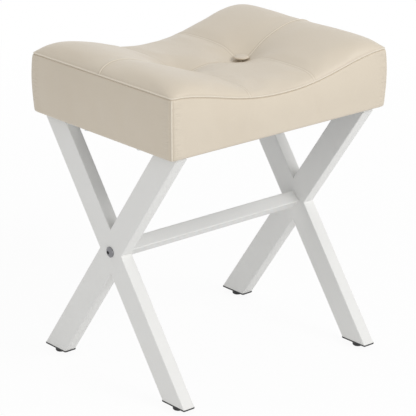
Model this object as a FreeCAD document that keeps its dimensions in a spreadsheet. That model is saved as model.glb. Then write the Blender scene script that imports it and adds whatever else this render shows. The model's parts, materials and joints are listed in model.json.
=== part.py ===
import FreeCAD, Part
import Sketcher
import math
import os
import re

# Vanity stool: an upholstered saddle seat on two welded X frames of flat-sided steel tube.
# Millimetres, +Z up, origin on the floor below the middle of the seat.
# X runs along the stretcher, from the left frame to the right one, and -Y is the front.

Vector = FreeCAD.Vector
Rotation = FreeCAD.Rotation
Placement = FreeCAD.Placement

doc = FreeCAD.newDocument("vanity_stool")

# Driving sizes

driving_sizes = [
    # X frames and stretcher
    ("frame_inset", 16.5, "side of the cushion to the outer face of an X frame"),
    ("bar_inset", 10.7, "front or back of the cushion to the end of a mounting bar"),
    ("crossing_height", 203, "floor to the middle of the crossing"),
    ("leg_depth", 40, "wide side of the leg tube"),
    ("leg_width", 20, "narrow side of the leg tube"),
    ("leg_wall", 1.2, "wall of the leg tube"),
    ("leg_corner", 1.5, "outer corner radius of the leg tube"),
    ("leg_top_height", 376.5, "floor to the sawn top of the legs"),
    ("stretcher_side", 20, "side of the square stretcher tube"),
    ("stretcher_wall", 1.2, "wall of the stretcher tube"),
    ("stretcher_corner", 1.5, "outer corner radius of the stretcher tube"),
    ("block_length", 26, "threaded block inside each stretcher end"),
    ("block_clearance", 0.1, "gap round the block in the tube"),
    ("bar_thickness", 4, "flat mounting bar welded on the leg tops"),
    ("bar_width", 20, "width of the mounting bar"),
    ("bar_corner", 3, "corner radius of the mounting bar"),
    # Screws of the crossings
    ("crossing_thread_radius", 4, "M8 screw of the crossing"),
    ("thread_clearance", 0.05, "gap between a screw and its thread, on the radius"),
    ("screw_hole_clearance", 0.25, "gap between a screw and its plain hole, on the radius"),
    ("crossing_screw_length", 40, "under the head"),
    ("crossing_head_radius", 8, "domed head"),
    ("crossing_head_rim", 1.2, "straight edge of the domed head"),
    ("crossing_head_rise", 3.4, "dome above that edge"),
    ("crossing_key_width", 5, "hexagon socket, across the flats"),
    ("crossing_key_depth", 2.8, "depth of the hexagon socket"),
    # Feet
    ("cap_plate", 2, "plate of the end cap under the leg"),
    ("cap_overhang", 0.4, "how far the plate stands out round the leg"),
    ("cap_corner", 2, "corner radius of the plate"),
    ("plug_height", 16, "plug of the cap inside the leg"),
    ("plug_clearance", 0.2, "gap round the plug in the leg"),
    ("foot_thread_radius", 4, "M8 stud of the levelling foot"),
    ("foot_nut_width", 13, "nut in the cap, across the flats"),
    ("foot_nut_height", 6.5, "height of that nut"),
    ("stud_length", 22, "levelling stud"),
    ("pad_radius", 8, "levelling pad"),
    ("pad_height", 7, "height of the levelling pad"),
    ("pad_rounding", 2.5, "rounded lower edge of the pad"),
    ("pad_floor", 2, "pad left under the stud"),
    ("stud_end_gap", 0.1, "gap under the end of the stud"),
    # Seat cushion
    ("seat_length", 412, "along X"),
    ("seat_depth", 321, "along Y"),
    ("valley_height", 455, "floor to the top of the cushion in the middle"),
    ("peak_height", 488, "floor to the top of the cushion over a frame"),
    ("peak_offset", 182, "middle of the seat to the peak"),
    ("corner_radius", 8, "upright corners of the cushion"),
    ("shoulder_radius", 16, "rounding between the top and the sides"),
    ("lower_radius", 8, "rounding under the sides"),
    ("skin_thickness", 1.2, "cover material"),
    ("skin_gap", 0.3, "between cover and foam"),
    ("flap_width", 22, "cover turned in under the board"),
    # Board and underside
    ("board_thickness", 12, "plywood seat board"),
    ("board_margin", 8, "from the outside of the cushion to the edge of the board"),
    ("board_corner", 12, "corner radius of the board"),
    ("dust_thickness", 0.5, "dust cloth under the board"),
    ("dust_margin", 12, "from the outside of the cushion to the edge of the cloth"),
    # Tufts
    ("tuft_offset", 61.5, "middle of the seat to each tuft"),
    ("tuft_floor_height", 447.5, "floor to the bottom of the pit"),
    ("pit_depth", 30, "height of the sloping side of the pit"),
    ("pit_rim_radius", 42.5, "radius of the pit at that height"),
    ("button_radius", 12, "covered button"),
    ("button_seat_clearance", 0.5, "flat ring of the pit round the button"),
    ("button_rim", 2, "straight edge of the button"),
    ("button_rise", 4.5, "dome of the button above that edge"),
    ("twine_radius", 0.8, "tufting twine"),
    ("twine_clearance", 0.6, "round the twine in the cover, foam and board"),
    ("anchor_radius", 9, "disc that holds the twine under the board"),
    ("anchor_thickness", 1.5, "thickness of that disc"),
    ("anchor_clearance", 0.2, "round the disc in the board"),
    # Bolts between board and mounting bars
    ("bolt_offset", 60, "middle of the seat to each bolt, along Y"),
    ("bolt_thread_radius", 3, "M6 bolt"),
    ("bolt_length", 16, "under the head"),
    ("bolt_head_width", 10, "hexagon head, across the flats"),
    ("bolt_head_height", 4, "height of that head"),
    ("washer_radius", 6.5, "washer under the head"),
    ("washer_thickness", 1.2, "thickness of the washer"),
    ("tee_flange_radius", 9.5, "flange of the tee nut"),
    ("tee_flange_thickness", 1.5, "thickness of the flange"),
    ("tee_barrel_radius", 3.9, "barrel of the tee nut"),
    ("tee_barrel_length", 9, "barrel below the flange"),
    ("tee_clearance", 0.1, "round the tee nut in the board"),
    # Staples
    ("staple_width", 10, "crown of a staple"),
    ("staple_wire", 0.7, "thickness of its wire"),
    ("staple_leg", 8, "length of its legs"),
    ("staple_margin", 14.5, "from the outside of the cushion to the row of staples"),
    ("staple_pitch", 34, "from one staple to the next"),
]

sheet = doc.addObject("Spreadsheet::Sheet", "Sizes")
for row, (alias, number, meaning) in enumerate(driving_sizes, start=1):
    sheet.set(f"A{row}", alias)
    sheet.set(f"B{row}", str(number))
    sheet.set(f"C{row}", meaning)
    sheet.setAlias(f"B{row}", alias)
doc.recompute()


class Size:
    """A length that carries its number and the formula that gives it from the sheet."""

    def __init__(self, value, text):
        self.value = float(value)
        self.text = text

    def joined(self, other, sign, value):
        return Size(value, f"({self.text} {sign} {other.text})")

    def __add__(self, other):
        other = as_size(other)
        return self.joined(other, "+", self.value + other.value)

    def __sub__(self, other):
        other = as_size(other)
        return self.joined(other, "-", self.value - other.value)

    def __mul__(self, other):
        other = as_size(other)
        return self.joined(other, "*", self.value * other.value)

    def __truediv__(self, other):
        other = as_size(other)
        return self.joined(other, "/", self.value / other.value)

    def __radd__(self, other):
        return as_size(other) + self

    def __rsub__(self, other):
        return as_size(other) - self

    def __rmul__(self, other):
        return as_size(other) * self

    def __neg__(self):
        return Size(-self.value, f"(0 - {self.text})")


def as_size(number):
    """A plain number as a Size."""
    return number if isinstance(number, Size) else Size(number, repr(number))


def tangent(angle):
    return Size(math.tan(math.radians(angle.value)), f"tan({angle.text})")


def cosine(angle):
    return Size(math.cos(math.radians(angle.value)), f"cos({angle.text})")


def root(size):
    return Size(math.sqrt(size.value), f"sqrt({size.text})")


def angle_of_cosine(size):
    """The angle with that cosine, in degrees."""
    return Size(math.degrees(math.acos(size.value)), f"(acos({size.text}) / (1 deg))")


def angle_of_tangent(size):
    """The angle with that tangent, in degrees."""
    return Size(math.degrees(math.atan(size.value)), f"(atan({size.text}) / (1 deg))")


class Sizes:
    """Every driving size by its name in the sheet."""


for alias, number, meaning in driving_sizes:
    setattr(Sizes, alias, Size(number, f"Sizes.{alias}"))

s = Sizes

# Levels and places worked out from the driving sizes. The legs lean just so far that their
# sawn tops fill the length of a mounting bar.

frame_width = s.seat_length - 2 * s.frame_inset
bar_length = s.seat_depth - 2 * s.bar_inset
top_run = 2 * (s.leg_top_height - s.crossing_height)
bar_diagonal = root(bar_length * bar_length + top_run * top_run)
leg_lean = angle_of_cosine(s.leg_depth / bar_diagonal) - angle_of_tangent(top_run / bar_length)
half_frame = frame_width / 2
frame_middle = half_frame - s.leg_width / 2
leg_foot_height = s.pad_height + s.cap_plate
foot_offset = (s.crossing_height - leg_foot_height) * tangent(leg_lean)
leg_footprint = s.leg_depth / cosine(leg_lean)
dust_bottom = s.leg_top_height + s.bar_thickness
seat_bottom = dust_bottom + s.dust_thickness
board_bottom = seat_bottom + s.skin_thickness
board_top = board_bottom + s.board_thickness

subparts = []


# Helpers that make and bind objects

def bind(thing, **lengths):
    """Ties each named property to its formula, and sets what is not a Size as it is."""
    for name, value in lengths.items():
        if isinstance(value, Size):
            thing.setExpression(name, value.text)
        else:
            setattr(thing, name, value)
    return thing


def place(thing, x=0, y=0, z=0, axis=None, angle=0):
    """Puts an object at x, y, z, turned by an angle in degrees about an axis."""
    turn = as_size(angle).value
    thing.Placement = Placement(
        Vector(as_size(x).value, as_size(y).value, as_size(z).value),
        Rotation(axis or Vector(0, 0, 1), turn),
    )
    for name, value in (("x", x), ("y", y), ("z", z)):
        if isinstance(value, Size):
            thing.setExpression(f"Placement.Base.{name}", value.text)
    if isinstance(angle, Size):
        thing.setExpression("Placement.Rotation.Angle", angle.text)
    return thing


def make(kind, name):
    thing = doc.addObject(kind, name)
    thing.Label = name
    return thing


def box(name, length, width, height, x, y, z):
    """A box that starts at x, y, z."""
    thing = bind(make("Part::Box", name), Length=length, Width=width, Height=height)
    return place(thing, x, y, z)


def centred_box(name, length, width, height, z):
    """A box centred on the Z axis that starts at z."""
    return box(name, length, width, height, -length / 2, -width / 2, z)


def cylinder(name, radius, height, x, y, z, axis=None, angle=0):
    thing = bind(make("Part::Cylinder", name), Radius=radius, Height=height)
    return place(thing, x, y, z, axis, angle)


def hexagon(name, across_flats, height, x, y, z):
    """A six-sided prism, its size given across the flats."""
    corner_radius = across_flats / 2 / cosine(as_size(30))
    thing = bind(make("Part::Prism", name), Polygon=6, Circumradius=corner_radius, Height=height)
    return place(thing, x, y, z)


def cut(name, base, tool):
    thing = make("Part::Cut", name)
    thing.Base = base
    thing.Tool = tool
    return thing


def common(name, base, tool):
    thing = make("Part::Common", name)
    thing.Base = base
    thing.Tool = tool
    return thing


def joined(name, shapes):
    thing = make("Part::MultiFuse", name)
    thing.Shapes = shapes
    return thing


def group(name, links):
    thing = make("Part::Compound", name)
    thing.Links = links
    return thing


def subpart(thing):
    """Marks an object as a piece of the stool. Its Label names its node."""
    subparts.append(thing)
    return thing


def body(name):
    return make("PartDesign::Body", name)


def sketch_on(owner, name, plane, offset=0):
    """A sketch on one of the body's own origin planes, moved along the plane's normal."""
    sketch = owner.newObject("Sketcher::SketchObject", name)
    origin_plane = [feature for feature in owner.Origin.OriginFeatures if feature.Role == plane][0]
    sketch.AttachmentSupport = [(origin_plane, "")]
    sketch.MapMode = "FlatFace"
    sketch.AttachmentOffset = Placement(Vector(0, 0, as_size(offset).value), Rotation())
    if isinstance(offset, Size):
        sketch.setExpression("AttachmentOffset.Base.z", offset.text)
    return sketch


def bound_constraint(sketch, kind, first, second, size):
    """Adds a constraint whose value follows a Size."""
    index = sketch.addConstraint(Sketcher.Constraint(kind, *first, *second, size.value))
    sketch.setExpression(f"Constraints[{index}]", size.text)


def outline(sketch, corners, radii=None):
    """Closes a loop of lines, or of arcs where radii gives one, through corners bound to sizes.

    radii maps the number of a side to its radius: positive bulges to the right of the way
    round, negative to the left.
    """
    radii = radii or {}
    points = [Vector(as_size(x).value, as_size(y).value, 0) for x, y in corners]
    start = sketch.GeometryCount
    count = len(corners)
    ends = []
    for number, point in enumerate(points):
        after = points[(number + 1) % count]
        if number in radii:
            radius = as_size(radii[number]).value
            chord = after - point
            right = Vector(chord.y, -chord.x, 0).normalize()
            to_centre = math.sqrt(radius ** 2 - (chord.Length / 2) ** 2)
            centre = (point + after) / 2 - right * math.copysign(to_centre, radius)
            first, last = (point, after) if radius > 0 else (after, point)
            angles = [math.atan2(end.y - centre.y, end.x - centre.x) for end in (first, last)]
            circle = Part.Circle(centre, Vector(0, 0, 1), abs(radius))
            sketch.addGeometry(Part.ArcOfCircle(circle, *angles), False)
            ends.append((1, 2) if radius > 0 else (2, 1))
        else:
            sketch.addGeometry(Part.LineSegment(point, after), False)
            ends.append((1, 2))
    for number in range(count):
        side = start + number
        following = start + (number + 1) % count
        joint = (side, ends[number][1], following, ends[(number + 1) % count][0])
        sketch.addConstraint(Sketcher.Constraint("Coincident", *joint))
        x, y = corners[number]
        corner = (side, ends[number][0])
        bound_constraint(sketch, "DistanceX", (-1, 1), corner, as_size(x))
        bound_constraint(sketch, "DistanceY", (-1, 1), corner, as_size(y))
    for number, radius in radii.items():
        size = as_size(radius)
        size = size if size.value > 0 else -size
        bound_constraint(sketch, "Radius", (start + number,), (), size)


def rectangle(sketch, width, height):
    """A rectangle centred on the sketch's origin."""
    x, y = width / 2, height / 2
    outline(sketch, [(-x, -y), (x, -y), (x, y), (-x, y)])


def rounded_rectangle(sketch, width, height, radius):
    """The same with rounded corners."""
    x, y = width / 2, height / 2
    inner_x, inner_y = x - radius, y - radius
    corners = [
        (-inner_x, -y), (inner_x, -y),
        (x, -inner_y), (x, inner_y),
        (inner_x, y), (-inner_x, y),
        (-x, inner_y), (-x, -inner_y),
    ]
    outline(sketch, corners, {1: radius, 3: radius, 5: radius, 7: radius})


def pad(owner, sketch, length, both_ways=False):
    feature = owner.newObject("PartDesign::Pad", sketch.Name + "_pad")
    feature.Profile = sketch
    bind(feature, Length=length)
    feature.Midplane = both_ways
    sketch.Visibility = False
    return feature


def turned(owner, sketch):
    """Turns a half outline in the XZ plane about the Z axis."""
    feature = owner.newObject("PartDesign::Revolution", sketch.Name + "_turn")
    feature.Profile = sketch
    feature.ReferenceAxis = (sketch, ["V_Axis"])
    feature.Angle = 360
    return feature


def fillet(owner, base, edges, radius):
    feature = owner.newObject("PartDesign::Fillet", base.Name + "_fillet")
    feature.Base = (base, edges)
    bind(feature, Radius=radius)
    doc.recompute()
    return feature


def edges_where(shape, chosen):
    """Names of the edges whose middle and direction pass the test."""
    names = []
    for number, edge in enumerate(shape.Edges, start=1):
        if edge.Degenerated:  # a pole of a rounded corner, which has no direction
            continue
        middle = edge.valueAt((edge.FirstParameter + edge.LastParameter) / 2)
        along = edge.tangentAt((edge.FirstParameter + edge.LastParameter) / 2)
        if chosen(middle, along):
            names.append(f"Edge{number}")
    return names


def sheet_pad(name, length, width, corner, thickness, z):
    """A flat sheet with rounded corners, centred on the Z axis, that starts at z."""
    owner = body(name)
    sketch = sketch_on(owner, name + "_outline", "XY_Plane")
    rounded_rectangle(sketch, length, width, corner)
    pad(owner, sketch, thickness)
    return place(owner, z=z)


# X frames
# Each frame is one long leg and two half legs welded against its narrow sides, flush on
# both faces. The right frame is the left one turned half way round, so only tools of the
# left one are made.

half_turn = 180
sides = {"left": 0, "right": half_turn}

bar_reach = 2 * s.leg_top_height / cosine(leg_lean)


def leaning_bar(name, section, lean):
    """A straight bar through the left crossing, leaning in the plane of the X."""
    owner = body(name)
    section(owner)
    return place(owner, -frame_middle, 0, s.crossing_height, Vector(1, 0, 0), lean)


def tube_section(owner):
    sketch = sketch_on(owner, owner.Name + "_section", "XY_Plane")
    rounded_rectangle(sketch, s.leg_width, s.leg_depth, s.leg_corner)
    rectangle(sketch, s.leg_width - 2 * s.leg_wall, s.leg_depth - 2 * s.leg_wall)
    pad(owner, sketch, bar_reach, both_ways=True)


def full_section(owner):
    sketch = sketch_on(owner, owner.Name + "_section", "XY_Plane")
    rounded_rectangle(sketch, s.leg_width, s.leg_depth, s.leg_corner)
    pad(owner, sketch, bar_reach, both_ways=True)


long_tube = leaning_bar("long_leg_tube_stock", tube_section, leg_lean)
half_tube = leaning_bar("half_leg_tube_stock", tube_section, -leg_lean)
long_envelope = leaning_bar("long_leg_envelope", full_section, leg_lean)

cutting_width = s.seat_depth * 2
leg_span = box(
    "height_of_the_legs", frame_width, cutting_width, s.leg_top_height - leg_foot_height,
    -frame_width, -cutting_width / 2, leg_foot_height,
)
upper_span = box(
    "height_above_crossing", frame_width, cutting_width, s.leg_top_height - s.crossing_height,
    -frame_width, -cutting_width / 2, s.crossing_height,
)
lower_span = box(
    "height_below_crossing", frame_width, cutting_width, s.crossing_height - leg_foot_height,
    -frame_width, -cutting_width / 2, leg_foot_height,
)
along_x = Vector(0, 1, 0)
crossing_hole = cylinder(
    "crossing_screw_hole", s.crossing_thread_radius + s.screw_hole_clearance, frame_width,
    -frame_width, 0, s.crossing_height, along_x, 90,
)
bolt_hole_radius = s.bolt_thread_radius + s.screw_hole_clearance
bar_middle = half_frame - s.bar_width / 2
bolt_holes = group("mounting_bolt_holes", [
    cylinder(f"mounting_bolt_hole_{name}", bolt_hole_radius, s.peak_height, -bar_middle, y, 0)
    for name, y in (("front", -s.bolt_offset), ("back", s.bolt_offset))
])
bar_stock = sheet_pad(
    "mounting_bar_stock", s.bar_width, bar_length, s.bar_corner, s.bar_thickness, s.leg_top_height,
)
place(bar_stock, -bar_middle, 0, s.leg_top_height)

for side, yaw in sides.items():
    sawn_long_leg = common(f"{side}_long_leg_sawn", long_tube, leg_span)
    long_leg = cut(f"{side}_long_leg", sawn_long_leg, crossing_hole)
    halves = cut(f"{side}_half_legs_notched", half_tube, long_envelope)
    upper_half = common(f"{side}_upper_half_leg", halves, upper_span)
    lower_half = common(f"{side}_lower_half_leg", halves, lower_span)
    bar = cut(f"{side}_mounting_bar", bar_stock, bolt_holes)
    for piece in (long_leg, upper_half, lower_half, bar):
        subpart(place(piece, angle=yaw))

# Stretcher
# A square tube turned onto its edge between the two crossings. A threaded block is welded
# into each end, and a domed screw through the long leg of each frame pulls it tight.

stretcher_length = frame_width - 2 * s.leg_width
stretcher_half = stretcher_length / 2
stretcher = body("stretcher_tube")
stretcher_section = sketch_on(stretcher, "stretcher_section", "YZ_Plane")
rounded_rectangle(stretcher_section, s.stretcher_side, s.stretcher_side, s.stretcher_corner)
stretcher_inside = s.stretcher_side - 2 * s.stretcher_wall
rectangle(stretcher_section, stretcher_inside, stretcher_inside)
pad(stretcher, stretcher_section, stretcher_length, both_ways=True)
on_edge = 45
subpart(place(stretcher, z=s.crossing_height, axis=Vector(1, 0, 0), angle=on_edge))

block_side = stretcher_inside - 2 * s.block_clearance
thread_bore = s.crossing_thread_radius + s.thread_clearance
block_stock = body("stretcher_block_stock")
block_section = sketch_on(block_stock, "stretcher_block_section", "YZ_Plane", -stretcher_half)
rectangle(block_section, block_side, block_side)
pad(block_stock, block_section, s.block_length)
place(block_stock, z=s.crossing_height, axis=Vector(1, 0, 0), angle=on_edge)
block_thread = cylinder(
    "stretcher_block_thread", thread_bore, frame_width,
    -frame_width, 0, s.crossing_height, along_x, 90,
)
for side, yaw in sides.items():
    subpart(place(cut(f"{side}_stretcher_block", block_stock, block_thread), angle=yaw))


def dome_radius(base_radius, rise):
    """Radius of the sphere that spans a base circle and rises above it."""
    return (base_radius * base_radius + rise * rise) / (2 * rise)


def crossing_screw(name):
    """A domed screw, its head on +Z, the underside of the head at the origin."""
    owner = body(name)
    profile = sketch_on(owner, name + "_profile", "XZ_Plane")
    top = s.crossing_head_rim + s.crossing_head_rise
    head_dome = dome_radius(s.crossing_head_radius, s.crossing_head_rise)
    outline(profile, [
        (0, -s.crossing_screw_length),
        (s.crossing_thread_radius, -s.crossing_screw_length),
        (s.crossing_thread_radius, 0),
        (s.crossing_head_radius, 0),
        (s.crossing_head_radius, s.crossing_head_rim),
        (0, top),
    ], {4: head_dome})
    turned(owner, profile)
    return owner


for side, yaw in sides.items():
    screw = crossing_screw(f"{side}_crossing_screw_blank")
    screw_socket = hexagon(
        f"{side}_crossing_screw_key", s.crossing_key_width, s.peak_height,
        0, 0, s.crossing_head_rim + s.crossing_head_rise - s.crossing_key_depth,
    )
    outward = -90 if side == "left" else 90
    reach = -half_frame if side == "left" else half_frame
    finished = cut(f"{side}_crossing_screw", screw, screw_socket)
    subpart(place(finished, reach, 0, s.crossing_height, along_x, outward))

# Feet
# A cap closes each leg and holds a nut. The stud of the levelling foot turns in that nut
# and ends in a round pad.

plug_bar = body("plug_bar")
plug_section = sketch_on(plug_bar, "plug_section", "XY_Plane")
plug_inset = 2 * s.leg_wall + 2 * s.plug_clearance
rectangle(plug_section, s.leg_width - plug_inset, s.leg_depth - plug_inset)
pad(plug_bar, plug_section, 4 * s.plug_height + 2 * s.leg_depth, both_ways=True)
place(plug_bar, axis=Vector(1, 0, 0), angle=leg_lean)
plug_level = box(
    "plug_level", frame_width, frame_width, s.plug_height, -half_frame, -half_frame, 0,
)
plug = common("cap_plug", plug_bar, plug_level)
plate = sheet_pad(
    "cap_plate_stock", s.leg_width + 2 * s.cap_overhang, leg_footprint + 2 * s.cap_overhang,
    s.cap_corner, s.cap_plate, -s.cap_plate,
)
cap_stock = joined("cap_stock", [plug, plate])
cap_bore = cylinder(
    "cap_bore", s.foot_thread_radius + s.screw_hole_clearance, s.peak_height,
    0, 0, -s.peak_height / 2,
)
nut_seat = hexagon("cap_nut_seat", s.foot_nut_width, s.foot_nut_height, 0, 0, 0)
cap_hollow = joined("cap_hollow", [cap_bore, nut_seat])


def levelling_stud(name):
    owner = body(name)
    profile = sketch_on(owner, name + "_profile", "XZ_Plane")
    radius = s.foot_thread_radius - s.thread_clearance
    outline(profile, [
        (0, s.pad_floor),
        (radius, s.pad_floor),
        (radius, s.pad_floor + s.stud_length),
        (0, s.pad_floor + s.stud_length),
    ])
    turned(owner, profile)
    return owner


def levelling_pad(name):
    owner = body(name)
    profile = sketch_on(owner, name + "_profile", "XZ_Plane")
    socket_floor = s.pad_floor - s.stud_end_gap
    outline(profile, [
        (0, 0),
        (s.pad_radius - s.pad_rounding, 0),
        (s.pad_radius, s.pad_rounding),
        (s.pad_radius, s.pad_height),
        (s.foot_thread_radius, s.pad_height),
        (s.foot_thread_radius, socket_floor),
        (0, socket_floor),
    ], {1: s.pad_rounding})
    turned(owner, profile)
    return owner


# Back legs lean forwards as they rise and front legs lean backwards, so a front cap is a
# back cap turned round.
feet = [
    ("front_left", -frame_middle, -foot_offset, half_turn),
    ("front_right", frame_middle, -foot_offset, half_turn),
    ("back_left", -frame_middle, foot_offset, 0),
    ("back_right", frame_middle, foot_offset, 0),
]
nuts = []
for corner, x, y, yaw in feet:
    cap = cut(f"{corner}_end_cap", cap_stock, cap_hollow)
    subpart(place(cap, x, y, leg_foot_height, angle=yaw))
    nut_blank = hexagon(f"{corner}_nut_blank", s.foot_nut_width, s.foot_nut_height, 0, 0, 0)
    nut_thread = cylinder(
        f"{corner}_nut_thread", s.foot_thread_radius, s.peak_height, 0, 0, -s.peak_height / 2,
    )
    nut = cut(f"{corner}_nut", nut_blank, nut_thread)
    nuts.append(place(nut, x, y, leg_foot_height))
    subpart(place(levelling_stud(f"{corner}_levelling_stud"), x, y))
    subpart(place(levelling_pad(f"{corner}_levelling_pad"), x, y))
subpart(group("end_cap_nuts", nuts))

# Cushion forms
# The cushion is a rounded block whose top dips in the middle and rises over both frames.
# The cover, its lining side and the foam are the same form, each a little smaller.


def saddle_corners(below, half_length, bottom):
    """Outline of the block seen from the front, its top lowered and its ends moved in."""
    valley = s.valley_height - below
    peak = s.peak_height - below
    rise = (peak - valley) / 2
    middle = s.peak_offset / 2
    curve = (middle * middle + rise * rise) / (2 * rise)
    past_peak = half_length - s.peak_offset
    drop = curve - root(curve * curve - past_peak * past_peak)
    corners = [
        (-half_length, bottom),
        (half_length, bottom),
        (half_length, peak - drop),
        (middle, valley + rise),
        (-middle, valley + rise),
        (-half_length, peak - drop),
    ]
    return corners, {2: curve, 3: -curve, 4: curve}


def saddle_block(name, below, half_length, half_depth, bottom):
    """The block with its saddle top and sharp edges."""
    owner = body(name)
    sketch = sketch_on(owner, name + "_outline", "XZ_Plane")
    corners, radii = saddle_corners(below, half_length, bottom)
    outline(sketch, corners, radii)
    pad(owner, sketch, 2 * half_depth, both_ways=True)
    return owner


tuft_places = [("left", -s.tuft_offset), ("right", s.tuft_offset)]


def pit(name, x, below):
    thing = make("Part::Cone", name)
    bind(
        thing,
        Radius1=s.button_radius + s.button_seat_clearance,
        Radius2=s.pit_rim_radius,
        Height=s.pit_depth,
    )
    return place(thing, x, 0, s.tuft_floor_height - below)


def cushion_form(name, inset, bottom):
    """The rounded cushion with its tuft pits, every surface moved in by the inset."""
    half_length = s.seat_length / 2 - inset
    half_depth = s.seat_depth / 2 - inset
    owner = saddle_block(name + "_block", inset, half_length, half_depth, bottom)
    doc.recompute()
    upright = edges_where(owner.Shape, lambda middle, along: abs(along.z) > 0.99)
    corner = s.corner_radius - inset
    rounded = fillet(owner, owner.Tip, upright, corner)
    edge_x = half_length.value - corner.value
    edge_y = half_depth.value - corner.value
    level = (s.valley_height.value + bottom.value) / 2

    def on_rim(middle, along):
        return (abs(middle.x) > edge_x or abs(middle.y) > edge_y) and abs(along.z) < 0.9

    top_rim = edges_where(rounded.Shape, lambda m, a: on_rim(m, a) and m.z > level)
    shouldered = fillet(owner, rounded, top_rim, s.shoulder_radius - inset)
    lower_rim = edges_where(shouldered.Shape, lambda m, a: on_rim(m, a) and m.z < bottom.value + 0.01)
    fillet(owner, shouldered, lower_rim, s.lower_radius - inset)
    pits = group(name + "_pits", [pit(f"{name}_pit_{side}", x, inset) for side, x in tuft_places])
    return cut(name, owner, pits)


outer_form = cushion_form("cushion_outside", as_size(0.0), seat_bottom)
lining_form = cushion_form("cushion_lining", s.skin_thickness, board_bottom)
foam_inset = s.skin_thickness + s.skin_gap
foam_form = cushion_form("cushion_foam", foam_inset, board_bottom + s.skin_gap)

# Seat board, tee nuts, bolts and washers

board_length = s.seat_length - 2 * s.board_margin
board_width = s.seat_depth - 2 * s.board_margin
board_stock = sheet_pad(
    "seat_board_stock", board_length, board_width, s.board_corner, s.board_thickness, board_bottom,
)
bolt_places = [
    (f"{side}_{end}", sign_x * bar_middle, sign_y * s.bolt_offset)
    for side, sign_x in (("left", -1), ("right", 1))
    for end, sign_y in (("front", -1), ("back", 1))
]
twine_hole_radius = s.twine_radius + s.twine_clearance
tee_top = board_top
tee_bottom = board_top - s.tee_flange_thickness - s.tee_barrel_length
bolt_seat = s.leg_top_height - s.washer_thickness
board_tools = []
tee_nuts = []
bolts = []
washers = []
for name, x, y in bolt_places:
    board_tools.append(cylinder(
        f"barrel_hole_{name}", s.tee_barrel_radius + s.tee_clearance, s.board_thickness,
        x, y, board_bottom,
    ))
    board_tools.append(cylinder(
        f"flange_seat_{name}", s.tee_flange_radius + s.tee_clearance, s.tee_flange_thickness,
        x, y, board_top - s.tee_flange_thickness,
    ))
    flange = cylinder(
        f"tee_flange_{name}", s.tee_flange_radius, s.tee_flange_thickness,
        x, y, board_top - s.tee_flange_thickness,
    )
    barrel = cylinder(
        f"tee_barrel_{name}", s.tee_barrel_radius, s.tee_barrel_length + s.tee_flange_thickness,
        x, y, tee_bottom,
    )
    tee_thread = cylinder(
        f"tee_thread_{name}", s.bolt_thread_radius + s.thread_clearance, s.board_thickness * 2,
        x, y, board_bottom - s.board_thickness / 2,
    )
    tee_nuts.append(cut(f"tee_nut_{name}", joined(f"tee_blank_{name}", [barrel, flange]), tee_thread))
    head = hexagon(
        f"bolt_head_{name}", s.bolt_head_width, s.bolt_head_height,
        x, y, bolt_seat - s.bolt_head_height,
    )
    shank = cylinder(f"bolt_shank_{name}", s.bolt_thread_radius, s.bolt_length, x, y, bolt_seat)
    bolts.append(joined(f"bolt_{name}", [head, shank]))
    disc = cylinder(f"washer_disc_{name}", s.washer_radius, s.washer_thickness, x, y, bolt_seat)
    disc_hole = cylinder(
        f"washer_hole_{name}", bolt_hole_radius, s.washer_thickness * 3,
        x, y, bolt_seat - s.washer_thickness,
    )
    washers.append(cut(f"washer_{name}", disc, disc_hole))

twine_holes = []
anchors = []
twines = []
for side, x in tuft_places:
    twine_holes.append(cylinder(
        f"twine_hole_{side}", twine_hole_radius, s.peak_height, x, 0, s.crossing_height,
    ))
    board_tools.append(cylinder(
        f"anchor_seat_{side}", s.anchor_radius + s.anchor_clearance, s.anchor_thickness,
        x, 0, board_bottom,
    ))
    anchors.append(cylinder(
        f"anchor_{side}", s.anchor_radius, s.anchor_thickness, x, 0, board_bottom,
    ))
    anchor_top = board_bottom + s.anchor_thickness
    twines.append(cylinder(
        f"twine_{side}", s.twine_radius, s.tuft_floor_height - anchor_top, x, 0, anchor_top,
    ))
twine_tunnels = group("twine_tunnels", twine_holes)
board_cuts = joined("board_cuts", board_tools + [twine_tunnels])

# Staples hold the flaps of the cover and the dust cloth to the board.


def staple_row(name, length, x, y, turned_round):
    """Staples in a row along X, or along Y where turned, centred on x, y."""
    count = max(2, int(length.value // s.staple_pitch.value) + 1)
    row = []
    for number in range(count):
        step = (number - (count - 1) / 2) * s.staple_pitch
        owner = body(f"staple_{name}_{number + 1}")
        sketch = sketch_on(owner, f"{owner.Name}_outline", "XZ_Plane")
        half, wire = s.staple_width / 2, s.staple_wire
        top = s.staple_leg
        outline(sketch, [
            (-half, -wire), (half, -wire), (half, top), (half - wire, top),
            (half - wire, 0), (wire - half, 0), (wire - half, top), (-half, top),
        ])
        pad(owner, sketch, wire, both_ways=True)
        if turned_round:
            row.append(place(owner, x, y + step, dust_bottom, angle=90))
        else:
            row.append(place(owner, x + step, y, dust_bottom))
    return row


staple_x = s.seat_length / 2 - s.staple_margin
staple_y = s.seat_depth / 2 - s.staple_margin
row_along_x = 2 * (half_frame - s.bar_width) - 2 * s.staple_width
row_along_y = s.seat_depth - 4 * s.staple_margin
staple_rows = {
    "front": staple_row("front", row_along_x, 0, -staple_y, False),
    "right": staple_row("right", row_along_y, staple_x, 0, True),
    "back": staple_row("back", row_along_x, 0, staple_y, False),
    "left": staple_row("left", row_along_y, -staple_x, 0, True),
}
all_staples = group("staples", sum(staple_rows.values(), []))

board_without_staples = cut("seat_board_bored", board_stock, board_cuts)
subpart(cut("seat_board", board_without_staples, all_staples))
subpart(group("tee_nuts", tee_nuts))
subpart(group("seat_bolts", bolts))
subpart(group("seat_washers", washers))
subpart(group("twine_anchors", anchors))
subpart(group("tufting_twines", twines))
subpart(all_staples)

# Foam

board_room = sheet_pad(
    "room_for_the_board", board_length, board_width, s.board_corner,
    s.board_thickness + s.skin_gap, board_bottom,
)
foam_on_board = cut("foam_on_board", foam_form, board_room)
subpart(cut("seat_foam", foam_on_board, twine_tunnels))

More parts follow.
